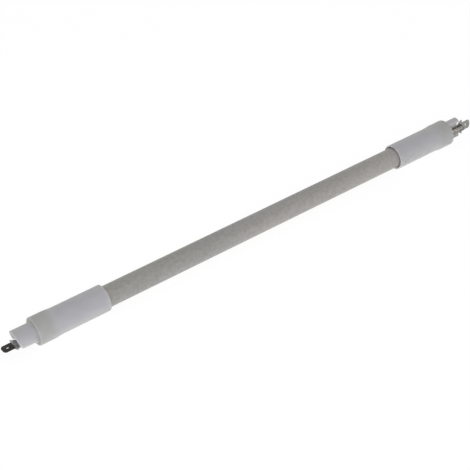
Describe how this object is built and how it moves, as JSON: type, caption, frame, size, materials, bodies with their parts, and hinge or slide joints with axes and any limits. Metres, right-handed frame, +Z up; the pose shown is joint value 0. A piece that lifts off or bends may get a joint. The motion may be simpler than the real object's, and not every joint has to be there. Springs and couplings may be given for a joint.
{
  "type": "quartz heating tube",
  "caption": "Straight quartz heating tube with a wire coil inside, a collared ceramic cap on each end and a push-on blade terminal beyond each cap.",
  "frame": {"origin": "middle of the tube's axis", "axes": "+X along the tube towards the right cap, +Z up, +Y away from the viewer"},
  "size_m": [0.3739, 0.0184, 0.0184],
  "materials": {
    "quartz": "satin milky, opaque grey",
    "coil_wire": "oxidised resistance wire",
    "steatite": "unglazed matt white",
    "lead_steel": "dull drawn rod",
    "terminal_steel": "plated sheet, slightly heat tinted"
  },
  "bodies": {
    "root": {"quartz_tube": "quartz", "heating_coil": "coil_wire", "left_ceramic_cap": "steatite", "right_ceramic_cap": "steatite", "left_lead": "lead_steel", "right_lead": "lead_steel", "left_terminal": "terminal_steel", "right_terminal": "terminal_steel"}
  },
  "joints": []
}
